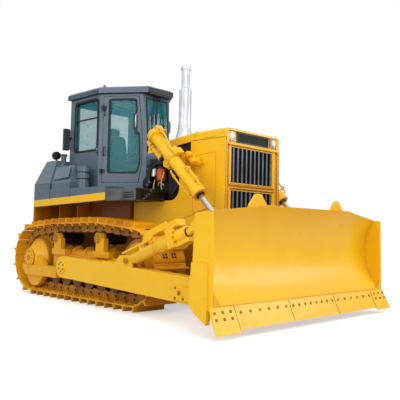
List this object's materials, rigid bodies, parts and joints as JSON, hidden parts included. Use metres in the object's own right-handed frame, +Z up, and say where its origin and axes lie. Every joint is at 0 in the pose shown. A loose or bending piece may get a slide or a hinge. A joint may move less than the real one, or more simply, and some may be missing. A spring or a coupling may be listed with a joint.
{
  "type": "bulldozer",
  "caption": "Crawler bulldozer with a straight blade that lifts on two hydraulic cylinders, a six-sided cab with hinged doors, and fixed tracks.",
  "frame": {"origin": "on the ground under the middle of the machine's overall box", "axes": "+X forward towards the blade, +Y to the operator's left, +Z up"},
  "size_m": [5.5237, 3.76, 3.733],
  "materials": {
    "yellow_paint": "glossy machine paint",
    "cab_grey": "satin blue-grey paint",
    "cab_glass": "teal tinted glass",
    "exhaust_metal": "bright steel pipe",
    "seat_vinyl": "dark seat cover",
    "console_plastic": "matte moulded plastic",
    "engine_black": "dark engine paint",
    "grille_grey": "satin grey bars",
    "lamp_glass": "clear lamp lens",
    "black_plastic": "matte black plastic",
    "chrome": "polished rod",
    "step_grey": "dark grey tread box"
  },
  "bodies": {
    "machine": {"cab_floor": "cab_grey", "cab_frame": "cab_grey", "cab_glass": "cab_glass", "cab_roof": "cab_grey", "carrier_rollers": "yellow_paint", "controls": "console_plastic", "drawbar": "yellow_paint", "engine": "engine_black", "exhaust": "exhaust_metal", "fenders": "yellow_paint", "final_drives": "yellow_paint", "fuel_tank": "cab_grey", "grilles": "grille_grey", "headlamps": "lamp_glass", "hood": "yellow_paint", "idlers": "yellow_paint", "lift_yokes": "yellow_paint", "main_frame": "yellow_paint", "mirrors": "black_plastic", "radiator": "engine_black", "radiator_guard": "yellow_paint", "seat": "seat_vinyl", "side_covers": "yellow_paint", "side_tanks": "cab_grey", "sprockets": "yellow_paint", "step_boxes": "step_grey", "track_frames": "yellow_paint", "track_left": "yellow_paint", "track_right": "yellow_paint", "track_rollers": "yellow_paint"},
    "dozer": {"blade": "yellow_paint", "brace_strut": "yellow_paint", "cutting_edges": "yellow_paint", "end_bits": "yellow_paint", "push_arm_left": "yellow_paint", "push_arm_right": "yellow_paint", "tilt_cylinder": "yellow_paint"},
    "barrel_right": {"lift_barrel_right": "yellow_paint"},
    "rod_right": {"lift_rod_right": "chrome"},
    "door_right": {"door_right": "cab_grey", "door_glass_right": "cab_glass"},
    "barrel_left": {"lift_barrel_left": "yellow_paint"},
    "rod_left": {"lift_rod_left": "chrome"},
    "door_left": {"door_left": "cab_grey", "door_glass_left": "cab_glass"}
  },
  "joints": [
    {"name": "blade_lift", "type": "hinge", "parent": "machine", "child": "dozer", "pos_m": [-0.815, 0, 0.545], "axis": [0, -1, 0], "range_deg": [-8.8, 19.4]},
    {"name": "lift_swing_right", "type": "hinge", "parent": "machine", "child": "barrel_right", "pos_m": [0.935, -0.89, 2.13], "axis": [0, -1, 0], "range_deg": [-12.6, 26.6]},
    {"name": "lift_stroke_right", "type": "slide", "parent": "barrel_right", "child": "rod_right", "axis": [0.7317, 0, -0.6816], "range_m": [-0.77, 0.355]},
    {"name": "lift_swing_left", "type": "hinge", "parent": "machine", "child": "barrel_left", "pos_m": [0.935, 0.89, 2.13], "axis": [0, -1, 0], "range_deg": [-12.6, 26.6]},
    {"name": "lift_stroke_left", "type": "slide", "parent": "barrel_left", "child": "rod_left", "axis": [0.7317, 0, -0.6816], "range_m": [-0.77, 0.355]},
    {"name": "door_swing_right", "type": "hinge", "parent": "machine", "child": "door_right", "pos_m": [-1.02899, -0.6891, 2.6], "axis": [0, 0, -1], "range_deg": [0, 110]},
    {"name": "door_swing_left", "type": "hinge", "parent": "machine", "child": "door_left", "pos_m": [-1.02899, 0.6891, 2.6], "axis": [0, 0, 1], "range_deg": [0, 110]}
  ],
  "couplings": [
    {"joint": "lift_swing_right", "follows": "blade_lift", "ratio": 1.32},
    {"joint": "lift_stroke_right", "follows": "blade_lift", "m_per_rad": -2.246},
    {"joint": "lift_swing_left", "follows": "blade_lift", "ratio": 1.32},
    {"joint": "lift_stroke_left", "follows": "blade_lift", "m_per_rad": -2.246}
  ]
}
